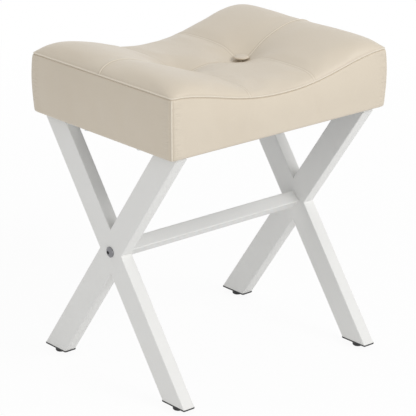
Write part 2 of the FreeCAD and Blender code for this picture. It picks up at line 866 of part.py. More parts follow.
# Cover
# Six top panels meet along one long seam and two cross seams. Four bands go round the
# sides, are sewn to the panels and to each other at the corners, and turn in under the board.

skin = cut("cover_skin", outer_form, lining_form)
flap_opening = centred_box(
    "flap_opening", s.seat_length - 2 * s.flap_width, s.seat_depth - 2 * s.flap_width,
    4 * s.skin_thickness, seat_bottom - s.skin_thickness,
)
below_seam = saddle_block(
    "below_the_edge_seam", s.shoulder_radius, s.seat_length / 2 + s.skin_thickness,
    s.seat_depth / 2 + s.skin_thickness, seat_bottom - s.skin_thickness,
)
top_skin = cut("cover_top", cut("cover_above_the_seam", skin, below_seam), twine_tunnels)
side_skin = cut("cover_sides", common("cover_below_the_seam", skin, below_seam), flap_opening)

panel_height = s.peak_height
panel_columns = {
    "left": (-s.seat_length / 2, -s.tuft_offset),
    "middle": (-s.tuft_offset, s.tuft_offset),
    "right": (s.tuft_offset, s.seat_length / 2),
}
panel_rows = {
    "front": (-s.seat_depth / 2, as_size(0.0)),
    "back": (as_size(0.0), s.seat_depth / 2),
}
for column, (low_x, high_x) in panel_columns.items():
    for line, (low_y, high_y) in panel_rows.items():
        region = box(
            f"region_{column}_{line}", high_x - low_x, high_y - low_y, panel_height,
            low_x, low_y, s.crossing_height,
        )
        subpart(common(f"{column}_{line}_top_panel", top_skin, region))

mitre_reach = 2 * s.flap_width
band_margin = s.skin_thickness


def mitred_region(name, length, depth, yaw):
    """The strip along one side of the cushion, its ends cut at 45 degrees."""
    thing = make("Part::Wedge", name)
    half = length / 2 + band_margin
    near = -depth / 2 - band_margin
    bind(
        thing,
        Xmin=-half, Xmax=half, X2min=-half + mitre_reach, X2max=half - mitre_reach,
        Ymin=near, Ymax=near + mitre_reach,
        Zmin=s.crossing_height, Z2min=s.crossing_height, Zmax=s.peak_height, Z2max=s.peak_height,
    )
    return place(thing, angle=yaw)


bands = {
    "front": (s.seat_length, s.seat_depth, 0),
    "right": (s.seat_depth, s.seat_length, 90),
    "back": (s.seat_length, s.seat_depth, 180),
    "left": (s.seat_depth, s.seat_length, 270),
}
for side, (length, depth, yaw) in bands.items():
    region = mitred_region(f"region_{side}_band", length, depth, yaw)
    whole_band = common(f"{side}_band_whole", side_skin, region)
    row = group(f"staples_of_{side}_band", staple_rows[side])
    subpart(cut(f"{side}_side_band", whole_band, row))

# Tuft buttons

for side, x in tuft_places:
    button = body(f"{side}_tuft_button")
    profile = sketch_on(button, f"{side}_button_profile", "XZ_Plane")
    outline(profile, [
        (0, 0),
        (s.button_radius, 0),
        (s.button_radius, s.button_rim),
        (0, s.button_rim + s.button_rise),
    ], {2: dome_radius(s.button_radius, s.button_rise)})
    turned(button, profile)
    subpart(place(button, x, 0, s.tuft_floor_height))

# Dust cloth under the board

cloth = sheet_pad(
    "dust_cloth_stock", s.seat_length - 2 * s.dust_margin, s.seat_depth - 2 * s.dust_margin,
    s.board_corner, s.dust_thickness, dust_bottom,
)
cloth_holes = group("cloth_bolt_holes", [
    cylinder(f"cloth_hole_{name}", bolt_hole_radius, s.peak_height, x, y, 0)
    for name, x, y in bolt_places
])
cloth_bored = cut("dust_cloth_bored", cloth, cloth_holes)
subpart(cut("dust_cloth", cloth_bored, all_staples))

# Checks, then one file for each piece

doc.recompute()
broken = []
for thing in doc.Objects:
    if "Invalid" in thing.State or "Error" in thing.State:
        broken.append(f"{thing.Label}: {thing.State}")
for piece in subparts:
    shape = piece.Shape
    if shape.isNull() or not shape.isValid() or not shape.Solids:
        broken.append(f"{piece.Label}: no valid solid")
if broken:
    raise RuntimeError("; ".join(broken))

os.makedirs("parts", exist_ok=True)
for piece in subparts:
    assert re.fullmatch(r"[a-z0-9_]{1,59}", piece.Label)
    piece.Shape.exportStep(f"parts/{piece.Label}.step")
    bounds = piece.Shape.optimalBoundingBox()
    print(
        f"{piece.Label}: {len(piece.Shape.Solids)} solids, {piece.Shape.Volume:.0f} mm3,",
        f"x {bounds.XMin:.1f} to {bounds.XMax:.1f}, y {bounds.YMin:.1f} to {bounds.YMax:.1f},",
        f"z {bounds.ZMin:.1f} to {bounds.ZMax:.1f}",
    )
print(len(subparts), "nodes")
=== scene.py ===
# %% [markdown]
# # A vanity stool, dressed in Blender
#
# The stool is a tufted saddle cushion on two welded X frames that a stretcher joins.
# Its measured parts come in as a fixed frame: tubes, screws, feet, the seat board and all
# that holds them together. This script adds what that frame leaves plain. It sews and
# stuffs the cushion, covers the two tuft buttons, gives every surface its finish, and
# lights and frames the whole. All lengths are in metres.

import json
import math

import bpy
import numpy as np
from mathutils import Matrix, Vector


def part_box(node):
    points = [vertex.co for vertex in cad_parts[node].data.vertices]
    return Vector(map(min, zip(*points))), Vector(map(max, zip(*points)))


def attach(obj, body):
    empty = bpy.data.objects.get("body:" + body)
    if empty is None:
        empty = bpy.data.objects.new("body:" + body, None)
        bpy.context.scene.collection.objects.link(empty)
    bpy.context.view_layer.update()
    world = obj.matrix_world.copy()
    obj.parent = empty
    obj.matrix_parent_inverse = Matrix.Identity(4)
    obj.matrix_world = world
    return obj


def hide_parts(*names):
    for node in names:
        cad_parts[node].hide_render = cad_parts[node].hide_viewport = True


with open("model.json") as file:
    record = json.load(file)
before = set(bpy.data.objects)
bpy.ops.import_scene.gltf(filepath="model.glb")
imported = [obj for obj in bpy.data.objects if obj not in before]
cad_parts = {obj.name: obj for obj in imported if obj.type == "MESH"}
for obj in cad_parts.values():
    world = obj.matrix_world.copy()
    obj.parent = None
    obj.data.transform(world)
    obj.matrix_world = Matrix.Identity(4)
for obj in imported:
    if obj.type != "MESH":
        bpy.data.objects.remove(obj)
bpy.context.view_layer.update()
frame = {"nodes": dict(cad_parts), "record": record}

# %% [markdown]
# ## The camera
#
# A long lens from a few metres away keeps the legs almost parallel, as catalogue pictures
# do. The camera stands in front of the stool and to its left, a little above the seat, and
# its height and turn follow from the edges of the two X frames.

# %% Camera
camera_turn = math.radians(40.59)
camera_dip = math.radians(19.53)
camera_place = (-1.9396, -2.2597, 1.2830)
focal_length_mm = 182.7
sensor_mm = 36

camera_data = bpy.data.cameras.new("camera")
camera_data.lens = focal_length_mm
camera_data.sensor_width = sensor_mm
camera = bpy.data.objects.new("camera", camera_data)
bpy.context.scene.collection.objects.link(camera)
camera.location = camera_place
camera.rotation_euler = (math.pi / 2 - camera_dip, 0, -camera_turn)
bpy.context.scene.camera = camera
print("Camera", round(math.dist(camera_place, (0, 0, 0.25)), 2), "m from the stool")

# %% [markdown]
# ## Helpers for shaping
#
# Every new piece starts as a primitive and is shaped in edit mode. Operators act on all
# that is selected, so each piece starts from an empty selection.

# %% Selecting and naming
def deselect_all():
    if bpy.context.object and bpy.context.object.mode != "OBJECT":
        bpy.ops.object.mode_set(mode="OBJECT")
    bpy.ops.object.select_all(action="DESELECT")


def take(piece):
    """Makes a piece the only one selected, and the active one."""
    deselect_all()
    piece.select_set(True)
    bpy.context.view_layer.objects.active = piece


def named(name):
    """Names the new active object and its mesh."""
    piece = bpy.context.object
    piece.name = name
    piece.data.name = name
    return piece


def coordinates(piece):
    """The places of a mesh's points, as an array with one row for each."""
    points = np.empty(len(piece.data.vertices) * 3)
    piece.data.vertices.foreach_get("co", points)
    return points.reshape(-1, 3)


def set_coordinates(piece, points):
    piece.data.vertices.foreach_set("co", points.ravel())
    piece.data.update()


def apply_modifier(piece, kind, **settings):
    """Adds a modifier with these settings and applies it."""
    take(piece)
    modifier = piece.modifiers.new(kind.lower(), kind)
    for setting, value in settings.items():
        setattr(modifier, setting, value)
    bpy.ops.object.modifier_apply(modifier=modifier.name)


def smooth(piece):
    take(piece)
    bpy.ops.object.shade_smooth()


# %% [markdown]
# ## The form of the cushion
#
# The cushion is a rounded slab whose top dips in the middle and rises over both frames.
# An edge seam joins the top to the four side bands. Three seams cross the top: one along
# it and two across, and a button pulls the cover down where they meet. The form is written
# as a few formulas, so that each of its sizes can be read and changed.

# %% Sizes of the cushion
cover_nodes = [
    f"{column}_{line}_top_panel"
    for column in ("left", "middle", "right")
    for line in ("front", "back")
]
cover_nodes += [f"{side}_side_band" for side in ("front", "right", "back", "left")]
cushion_low = np.min([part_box(node)[0] for node in cover_nodes], axis=0)
cushion_high = np.max([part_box(node)[1] for node in cover_nodes], axis=0)
half_length, half_depth = cushion_high[0], cushion_high[1]
underside = cushion_low[2]
button_low, button_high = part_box("right_tuft_button")
tuft_x = (button_low[0] + button_high[0]) / 2
print("Cushion", np.round(2 * np.array([half_length, half_depth]), 4), "from", round(underside, 4))
print("Tufts at", round(tuft_x, 4), "on either side of the middle")

edge_seam_middle = 0.4414  # height of the edge seam in the middle of the front
edge_seam_ends = 0.4700  # and at the corners
seam_tuck = 0.0016  # how far the edge seam lies inside the side
side_bulge = 0.0018  # how far the stuffing pushes the sides out
corner_radius = 0.0070  # upright corners, at the edge seam
lower_corner_radius = 0.0088  # and at the lower edge
roll_radius = 0.0058  # the cover rolls under the board
print("Edge seam from", edge_seam_middle, "to", edge_seam_ends, "above the floor")


# %% Heights of the edge seam and the crown
def rise(share):
    """Goes from 0 to 1 along half a wave."""
    return 0.5 - 0.5 * np.cos(np.pi * np.clip(share, 0, 1))


def edge_seam_height(x):
    """The edge seam is low in the middle of the front and climbs to the corners."""
    dip_width = 1.16
    climb = rise(np.abs(x / half_length) ** dip_width)
    return edge_seam_middle + (edge_seam_ends - edge_seam_middle) * climb


def crown_height(x):
    """How far the stuffing stands above the edge seam."""
    middle, ends = 0.0141, 0.0250
    return middle + (ends - middle) * rise(np.abs(x / half_length))


def shoulder(share_x, share_y):
    """0 at the edge seam and 1 well inside it, steep at first like a stuffed edge."""
    end_roundness, side_roundness = 6.94, 9.1
    along = 1 - np.clip(np.abs(share_x), 0, 1) ** end_roundness
    across = 1 - np.clip(np.abs(share_y), 0, 1) ** side_roundness
    return np.sqrt(along) * np.sqrt(across)


# %% Where the twine and the seams pull the top in
def tuft_depth(x, y):
    """The pit that the twine pulls, with a floor for the button."""
    floor_depth, slope_depth, slope_length, sharpness = 0.0150, 0.0399, 0.0170, 4
    radius = np.hypot(np.abs(x) - tuft_x, y)
    slope = slope_depth * np.exp(-radius / slope_length)
    return (floor_depth ** -sharpness + slope ** -sharpness) ** (-1 / sharpness)


def long_valley(x, y):
    """The seam along the seat pulls in between and beside the tufts, and fades outwards."""
    depth, fade, width = 0.0046, 0.055, 0.0105
    beyond = np.clip(np.abs(x) - tuft_x, 0, None)
    return depth * np.exp(-((beyond / fade) ** 2)) * np.exp(-np.abs(y) / width)


def cross_valley(x, y):
    """The two seams across the seat pull in a little, each along its whole length."""
    depth, width = 0.0010, 0.006
    return depth * np.exp(-np.abs(np.abs(x) - tuft_x) / width)


def end_dent(x, y):
    """The long seam draws the edge in a little where it ends."""
    depth, reach, width = 0.0022, 0.012, 0.009
    from_end = half_length - np.abs(x)
    return depth * np.exp(-from_end / reach) * np.exp(-((y / width) ** 2))


def top_height(x, y, share_x, share_y):
    """The height of the top: the edge seam, the crown on it, and what draws it in."""
    drawn_in = tuft_depth(x, y) + long_valley(x, y) + cross_valley(x, y) + end_dent(x, y)
    return edge_seam_height(x) + (crown_height(x) - drawn_in) * shoulder(share_x, share_y)


# %% [markdown]
# ## A block whose lines follow the seams
#
# A closed block is extruded from a flat grid and cut into rows. Its lines are then set
# where the form needs them: close together along the seams, the tufts and the edge, and
# wide apart on the calm parts. One builder makes both blocks that are needed: a coarse
# one, which is simulated as cloth, and a fine one, which follows it and carries the seams.

# %% Spacing of the grid lines
def mirrored(half_lines):
    """The same line places on both sides of the middle."""
    half = sorted(set(round(line, 7) for line in half_lines if line > 1e-6))
    return [-line for line in reversed(half)] + [0.0] + half


def evenly(start, end, step):
    """Even places between two lines, about one step apart."""
    count = max(1, round((end - start) / step))
    return [start + (end - start) * number / count for number in range(count + 1)]


def seat_lines(half, seam, beside_seam, beside_edge, step):
    """Line places, close together near a seam and near the edge."""
    near_seam = [seam + offset for offset in beside_seam]
    near_seam += [seam - offset for offset in beside_seam if seam > 0]
    near_edge = [half - offset for offset in beside_edge]
    calm = evenly(max(near_seam), min(near_edge), step)
    if seam > 0:
        calm += evenly(0.0, min(near_seam), step)
    return mirrored(near_seam + near_edge + calm)


def round_corners(x, y, half_x, half_y, radius):
    """Bends the lines of a rectangle so that its corners are round."""
    over_x = np.clip((np.abs(x) - (half_x - radius)) / radius, 0, 1)
    over_y = np.clip((np.abs(y) - (half_y - radius)) / radius, 0, 1)
    bent_x = (half_x - radius) + radius * over_x * np.sqrt(1 - over_y ** 2 / 2)
    bent_y = (half_y - radius) + radius * over_y * np.sqrt(1 - over_x ** 2 / 2)
    in_corner = (over_x > 0) & (over_y > 0)
    return (
        np.where(in_corner, np.sign(x) * bent_x, x),
        np.where(in_corner, np.sign(y) * bent_y, y),
    )


# %% Profile of the sides
def side_profile(wall_rows, roll_steps):
    """For each row: share of the wall's height, inset from the edge, and drop of the roll."""
    tuck_fade, foot_tuck = 0.10, 0.0006
    profile = []
    for share in wall_rows:
        tuck = seam_tuck * math.exp(-share / tuck_fade) + foot_tuck * share ** 3
        profile.append((share, tuck - side_bulge * math.sin(math.pi * share), 0.0))
    for step in range(1, roll_steps + 1):
        angle = math.pi / 2 * step / roll_steps
        inset = foot_tuck + roll_radius * (1 - math.cos(angle))
        profile.append((1.0, inset, roll_radius * math.sin(angle)))
    return np.array(profile)


# %% Builder of the block
class Block:
    """A closed cushion, with the column, line and row of each of its points."""

    def __init__(self, name, x_lines, y_lines, wall_rows, roll_steps):
        profile = side_profile(wall_rows, roll_steps)
        last = len(profile) - 1
        deselect_all()
        bpy.ops.mesh.primitive_grid_add(
            x_subdivisions=len(x_lines) - 1, y_subdivisions=len(y_lines) - 1, size=2,
        )
        self.piece = named(name)
        bpy.ops.object.mode_set(mode="EDIT")
        bpy.ops.mesh.select_all(action="SELECT")
        bpy.ops.mesh.extrude_region_move(TRANSFORM_OT_translate={"value": (0, 0, 1)})
        for row in range(1, last):
            bpy.ops.mesh.select_all(action="SELECT")
            bpy.ops.mesh.bisect(plane_co=(0, 0, 1 - row / last), plane_no=(0, 0, 1))
        bpy.ops.mesh.select_all(action="SELECT")
        bpy.ops.mesh.normals_make_consistent(inside=False)
        bpy.ops.object.mode_set(mode="OBJECT")

        flat = coordinates(self.piece)
        column = np.rint((flat[:, 0] + 1) / 2 * (len(x_lines) - 1)).astype(int)
        line = np.rint((flat[:, 1] + 1) / 2 * (len(y_lines) - 1)).astype(int)
        self.row = np.rint((1 - flat[:, 2]) * last).astype(int)
        self.last_row = last
        self.share_x = np.array(x_lines)[column] / half_length
        self.share_y = np.array(y_lines)[line] / half_depth
        self.share_down, self.inset, self.drop = profile[self.row].T
        self.on_top = self.row == 0
        self.at_end = np.abs(self.share_x) > 0.9999
        self.at_side = np.abs(self.share_y) > 0.9999
        self.on_edge_seam = self.on_top & (self.at_end | self.at_side)
        set_coordinates(self.piece, self.form())

    def form(self):
        """Where the points go on the stuffed cushion, before it is sewn."""
        half_x, half_y = half_length - self.inset, half_depth - self.inset
        widening = (lower_corner_radius - corner_radius) * self.share_down ** 2
        radius = corner_radius + widening - self.inset
        x, y = round_corners(self.share_x * half_x, self.share_y * half_y, half_x, half_y, radius)
        seam_height = edge_seam_height(x)
        roll_top = underside + roll_radius
        side = seam_height + (roll_top - seam_height) * self.share_down - self.drop
        z = np.where(self.on_top, top_height(x, y, self.share_x, self.share_y), side)
        return np.stack([x, y, z], axis=1)


# %% The fine block
mm = 0.001


def cushion_block(name, seam_offsets, edge_offsets, step, wall_rows, roll_steps):
    """A block with lines at these offsets from seams and edge; all lengths in millimetres."""
    beside_seam = [mm * offset for offset in seam_offsets]
    beside_edge = [mm * offset for offset in edge_offsets]
    return Block(
        name,
        seat_lines(half_length, tuft_x, beside_seam, beside_edge, step * mm),
        seat_lines(half_depth, 0.0, beside_seam, beside_edge, step * mm),
        wall_rows, roll_steps,
    )


fine = cushion_block(
    "seat_cushion",
    seam_offsets=(0, 0.6, 1.2, 1.8, 2.4, 3.2, 5, 8, 12, 17, 22, 27),
    edge_offsets=(0, 0.006, 0.025, 0.06, 0.12, 0.24, 0.5, 1, 1.8, 3, 4.8, 7.5, 11.5, 17, 23),
    step=7,
    wall_rows=(
        0, 0.006, 0.012, 0.02, 0.03, 0.045, 0.07, 0.11, 0.17,
        0.25, 0.34, 0.44, 0.55, 0.66, 0.77, 0.88, 1,
    ),
    roll_steps=5,
)
cushion = fine.piece
print("Fine block:", len(cushion.data.vertices), "points and", len(cushion.data.polygons), "faces")

# %% [markdown]
# ## Stuffing the cushion
#
# A real cushion gets its form from the push of the foam against a cover that the seams
# hold. The coarse block is given that: it is turned into cloth that is a little too large,
# pinned along the seams, in the tufts and underneath, and blown up from inside for twenty
# frames. Each point of the fine block is then carried as the coarse points near it are.
# No point may go further than a few millimetres, which keeps the proportions. Nothing in
# the simulation is random, and yet two runs differ a little: by a hundredth of a millimetre
# on average, and by less than one millimetre at most.

# %% The coarse block and its pins
coarse = cushion_block(
    "stuffing",
    seam_offsets=(0, 4, 9, 15, 21),
    edge_offsets=(0, 1.5, 5, 10, 16),
    step=6.5,
    wall_rows=(0, 0.05, 0.12, 0.2, 0.28, 0.36, 0.44, 0.52, 0.6, 0.68, 0.76, 0.84, 0.92, 1),
    roll_steps=3,
)
stuffing = coarse.piece
print("Coarse block:", len(stuffing.data.vertices), "points")


def freedom(block):
    """0 where seams, twine and board hold the cover, and 1 where it is free."""
    tuft_radius, tuft_fade, long_fade = 0.013, 0.010, 0.008
    least_at_cross, cross_fade = 0.35, 0.012
    wall_fade, corner_fade = 0.12, 0.010
    place = block.form()
    from_long_seam = np.abs(place[:, 1])
    from_cross_seam = np.abs(np.abs(place[:, 0]) - tuft_x)
    from_tuft = np.hypot(from_cross_seam, place[:, 1]) - tuft_radius
    from_corner = 1 - np.minimum(np.abs(block.share_x), np.abs(block.share_y))
    free_top = np.minimum(from_long_seam / long_fade, from_tuft / tuft_fade)
    free_top = np.minimum(free_top, least_at_cross + from_cross_seam / cross_fade)
    free_side = np.minimum(block.share_down, 1 - block.share_down) / wall_fade
    free_side = np.minimum(free_side, from_corner * half_depth / corner_fade)
    free = np.where(block.on_top, free_top, free_side)
    free[block.on_edge_seam] = 0
    free[block.drop > 0] = 0
    return np.clip(free, 0, 1)


# %% Blow up the coarse block
def stuffed(block, start):
    """The places of the coarse block's points after the cloth has swollen."""
    frames, pressure, slack, reach = 20, 4.0, -0.006, 0.0030
    piece = block.piece
    set_coordinates(piece, start)
    pins = piece.vertex_groups.new(name="held")
    for point, free in enumerate(freedom(block)):
        pins.add([point], 1 - float(free), "REPLACE")
    take(piece)
    modifier = piece.modifiers.new("cloth", "CLOTH")
    cloth = modifier.settings
    cloth.quality = 6
    cloth.mass = 0.3
    cloth.tension_stiffness = 25
    cloth.compression_stiffness = 25
    cloth.shear_stiffness = 12
    cloth.bending_stiffness = 0.6
    cloth.use_pressure = True
    cloth.uniform_pressure_force = pressure
    cloth.shrink_min = slack
    cloth.vertex_group_mass = "held"
    cloth.pin_stiffness = 4
    cloth.effector_weights.gravity = 0
    modifier.point_cache.frame_start = 1
    modifier.point_cache.frame_end = frames
    for number in range(1, frames + 1):
        bpy.context.scene.frame_set(number)
    swollen = piece.evaluated_get(bpy.context.evaluated_depsgraph_get())
    move = coordinates(swollen) - start
    piece.modifiers.remove(modifier)
    bpy.context.scene.frame_set(1)
    length = np.linalg.norm(move, axis=1, keepdims=True)
    return start + move * np.minimum(1, reach / np.maximum(length, 1e-9))


def point_normals(piece):
    normals = np.empty(len(piece.data.vertices) * 3)
    piece.data.vertex_normals.foreach_get("vector", normals)
    return normals.reshape(-1, 3)


def carried(places, start, move, reach):
    """How far places are carried by moved points: a mean that counts the near ones most."""
    result = np.zeros_like(places)
    at_once = 500
    for first in range(0, len(places), at_once):
        chunk = slice(first, first + at_once)
        apart = sum(
            (places[chunk][:, None, axis] - start[None, :, axis]) ** 2 for axis in range(3)
        )
        weight = np.exp(-apart / reach ** 2) + 1e-12
        total = weight.sum(axis=1)
        for axis in range(3):
            result[chunk, axis] = (weight * move[None, :, axis]).sum(axis=1) / total
    return result


slimming = 0.0008
before = coordinates(stuffing)
slimmer = before - slimming * freedom(coarse)[:, None] * point_normals(stuffing)
swelling = stuffed(coarse, slimmer) - before
places = coordinates(cushion)
set_coordinates(cushion, places + carried(places, before, swelling, reach=0.006))
length = np.linalg.norm(swelling, axis=1)
outwards = (swelling * point_normals(stuffing)).sum(axis=1)
print("Swelling: mean", round(length.mean() / mm, 2), "and up to", round(length.max() / mm, 2), "mm")
print("Outwards: from", round(outwards.min() / mm, 2), "to", round(outwards.max() / mm, 2), "mm")
bpy.data.objects.remove(stuffing)

# %% [markdown]
# ## Sewing the seams
#
# On the real cover both edges of each seam are folded under, so the leather stands up in
# a narrow welt between two fine grooves. The welts and grooves are pressed into the mesh
# along its normals, by the distance of each point to the seam. Three numbers are kept on
# the points for the leather: how deep in a groove a point lies, which also sets painted
# shade in the grooves, how much painted highlight lies on the crest of a welt there, and
# how much it is gathered beside an upright seam.

# %% Distances to the seams
placed = coordinates(cushion)
normals = point_normals(cushion)
far_away = 1.0
line_spacing = 0.0003


def distance_to_points(places, line_points):
    """The distance of each place to the nearest of a row of close points."""
    nearest = np.empty(len(places))
    at_once = 2000
    for first in range(0, len(places), at_once):
        chunk = slice(first, first + at_once)
        apart = places[chunk, None, :] - line_points[None, :, :]
        nearest[chunk] = np.sqrt((apart ** 2).sum(axis=2).min(axis=1))
    return nearest


def along(points, order):
    """Close points on the broken line through these points, in this order."""
    points = points[np.argsort(order)]
    steps = np.linalg.norm(np.diff(points, axis=0), axis=1)
    travelled = np.concatenate([[0], np.cumsum(steps)])
    places = np.arange(0, travelled[-1], line_spacing)
    return np.stack([np.interp(places, travelled, points[:, axis]) for axis in range(3)], axis=1)


# The edge seam runs all round. Distances below it count as negative.
around = np.arctan2(placed[:, 1], placed[:, 0])
edge_line = along(placed[fine.on_edge_seam], around[fine.on_edge_seam])
close_to_edge = (fine.on_top | (fine.share_down < 0.3)) & (
    (np.abs(fine.share_x) > 0.9) | (np.abs(fine.share_y) > 0.9)
)
from_edge = np.full(len(placed), far_away)
from_edge[close_to_edge] = distance_to_points(placed[close_to_edge], edge_line)
from_edge = np.where(fine.on_top, from_edge, -from_edge)

# The upright seams run down the four corners.
from_upright = np.full(len(placed), far_away)
for end in (-1, 1):
    for side in (-1, 1):
        corner = fine.at_end & fine.at_side & (fine.share_x * end > 0) & (fine.share_y * side > 0)
        corner_line = along(placed[corner], fine.row[corner])
        near = ~fine.on_top & (fine.share_x * end > 0.85) & (fine.share_y * side > 0.85)
        from_upright[near] = distance_to_points(placed[near], corner_line)

# The long seam and the two cross seams lie straight on the top.
from_long = np.where(fine.on_top, placed[:, 1], far_away)
from_cross = np.where(fine.on_top, np.abs(placed[:, 0]) - tuft_x, far_away)
print("Edge seam", round(len(edge_line) * line_spacing, 3), "m long")


# %% Welts and grooves
def bump(distance, centre, width):
    """A smooth bump of height 1 at a distance from the seam, in millimetres."""
    return np.exp(-(((distance / mm - centre) / width) ** 2))


def welt(distance, height, groove):
    """A raised welt with a groove on each side."""
    beside = bump(np.abs(distance), 2.0, 0.55)
    return height * bump(distance, 0, 0.95) - groove * beside, beside


# Welts end at the buttons and at the edge, and are flatter where seams meet at a corner.
under_button = np.clip((np.hypot(from_cross, from_long) - 0.010) / 0.006, 0, 1)
fade_at_edge = np.clip(from_edge / 0.004, 0, 1)
below_edge = np.clip(-from_edge / 0.003, 0, 1)
from_corner = np.hypot(half_length - np.abs(placed[:, 0]), half_depth - np.abs(placed[:, 1]))
calm_corner = 0.45 + 0.55 * np.clip(from_corner / 0.02, 0, 1)

long_welt, long_groove = welt(from_long, height=0.85, groove=0.45)
cross_welt, cross_groove = welt(from_cross, height=0.30, groove=0.30)
upright_welt, upright_groove = welt(from_upright, height=0.75, groove=0.45)
edge_welt = 1.25 * calm_corner * bump(from_edge, centre=1.0, width=0.85)
edge_welt -= bump(from_edge, centre=-0.4, width=0.55)
edge_welt -= 0.35 * bump(from_edge, centre=2.9, width=0.6)
edge_groove = bump(from_edge, centre=-0.4, width=0.6)
edge_groove += 0.3 * bump(from_edge, centre=2.9, width=0.6)

top_welt = (long_welt + cross_welt) * under_button * fade_at_edge
lift = mm * (top_welt + upright_welt * below_edge + edge_welt)
lift = np.where(fine.row <= fine.last_row - 2, lift, 0.0)
set_coordinates(cushion, placed + lift[:, None] * normals)
print("Seams lift the cover by up to", round(lift.max() / mm, 2), "mm")

# %% Numbers that the leather reads
# The groove number darkens the leather as painted shade in the seam grooves, and makes it duller.
groove = (long_groove + 0.6 * cross_groove) * under_button * fade_at_edge
groove = np.clip(groove + upright_groove * below_edge + edge_groove, 0, 1)
# Painted highlight: the leather is lightened along the crests of the welts and of the edge welt.
welt_highlight = (bump(from_long, 0, 1.0) + 0.4 * bump(from_cross, 0, 1.0)) * under_button * fade_at_edge
welt_highlight += bump(from_upright, 0, 1.0) * below_edge + bump(from_edge, 1.1, 0.8)
gathered = bump(from_upright, 9, 8) * np.clip(-from_edge / 0.006, 0, 1)
gathered = np.where(fine.on_top, 0, gathered)


def keep_on_points(name, values):
    """Stores a number for each point of the cushion, which its material reads."""
    attribute = cushion.data.attributes.new(name, "FLOAT", "POINT")
    attribute.data.foreach_set("value", np.clip(values, 0, 1).astype(np.float32))


keep_on_points("groove", groove)
keep_on_points("welt_highlight", welt_highlight)
keep_on_points("gathered", gathered)
print("Points in a groove:", int((groove > 0.5).sum()))

# %% Smooth the cushion
apply_modifier(cushion, "SUBSURF", levels=1, render_levels=1)
smooth(cushion)
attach(cushion, "frame")
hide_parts("seat_foam", *cover_nodes)
print("Cushion:", len(cushion.data.polygons) * 2, "triangles")

# %% [markdown]
# ## The tuft buttons
#
# Each button is a metal shell with leather wrapped over it. The leather is gathered behind
# the rim, so the sides are pleated while the top is smooth. A sphere is squashed into a
# low dome with a full rim, and every second column of its side is pulled in a little.

# %% One button, and its copy
button_radius = (button_high[0] - button_low[0]) / 2
button_height = button_high[2] - button_low[2]


def tuft_button(name, x):
    """A covered button whose middle is x metres along the seat."""
    pleats, rings, pleat_depth = 26, 9, 0.022
    rim_fullness, top_share, lower_share, level_share = 0.62, 0.42, 0.40, 0.30
    deselect_all()
    bpy.ops.mesh.primitive_uv_sphere_add(segments=pleats * 2, ring_count=rings * 2, radius=1)
    button = named(name)
    points = coordinates(button)
    height = points[:, 2]
    around = np.arctan2(points[:, 1], points[:, 0])
    spread = np.sqrt(np.clip(1 - np.abs(height) ** 2, 0, 1)) ** rim_fullness
    side = np.exp(-(((height + 0.15) / 0.45) ** 2))
    pleat = 1 - pleat_depth * side * (0.5 - 0.5 * np.cos(pleats * around))
    radius = button_radius * spread * pleat
    dome = np.where(height > 0, top_share, lower_share) * button_height * height
    level = button_low[2] + level_share * button_height + dome
    places = np.stack([x + radius * np.cos(around), radius * np.sin(around), level], axis=1)
    set_coordinates(button, places)
    apply_modifier(button, "SUBSURF", levels=1, render_levels=1)
    smooth(button)
    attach(button, "frame")
    return button


buttons = []
for side, x in (("left", -tuft_x), ("right", tuft_x)):
    button = tuft_button(f"{side}_covered_button", x)
    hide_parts(f"{side}_tuft_button")
    buttons.append(button)
print("Buttons", round(2 * button_radius / mm, 1), "mm across,", round(button_height / mm, 1), "mm high")

# %% [markdown]
# ## Writing a finish
#
# A finish is a small net of nodes. Three short classes keep it readable. A Flow is a value
# on its way through the nodes, on which plus, minus and times work as they do on numbers.
# A Net adds any node to a node tree, and a Finish is a Net that belongs to a material.

# %% Values that flow through nodes
class Flow:
    """A node's output: sums with it add the Math nodes that they need."""

    def __init__(self, net, socket):
        self.net = net
        self.socket = socket

    def maths(self, operation, first, second):
        return self.net.node("ShaderNodeMath", {"operation": operation}, {0: first, 1: second})

    def __add__(self, other):
        return self.maths("ADD", self, other)

    def __sub__(self, other):
        return self.maths("SUBTRACT", self, other)

    def __rsub__(self, other):
        return self.maths("SUBTRACT", other, self)

    def __mul__(self, other):
        return self.maths("MULTIPLY", self, other)

    def at_least(self, limit):
        return self.maths("MAXIMUM", self, limit)

    def at_most(self, limit):
        return self.maths("MINIMUM", self, limit)

    __radd__ = __add__
    __rmul__ = __mul__


# %% Nets of nodes
class Net:
    """A node tree, with one method that adds any node to it."""

    def __init__(self, tree):
        self.nodes = tree.nodes
        self.links = tree.links

    def node(self, kind, settings=None, sockets=None, output=0):
        """Adds a node, first its settings and then its sockets' values or links."""
        added = self.nodes.new(kind)
        for setting, value in (settings or {}).items():
            setattr(added, setting, value)
        for socket, value in (sockets or {}).items():
            self.feed(added.inputs[socket], value)
        return Flow(self, added.outputs[output])

    def feed(self, socket, value):
        """Links a flow to a socket, or sets the socket to a plain value."""
        if isinstance(value, Flow):
            self.links.new(value.socket, socket)
        elif socket.type == "RGBA":
            socket.default_value = (*value, 1)
        else:
            socket.default_value = value


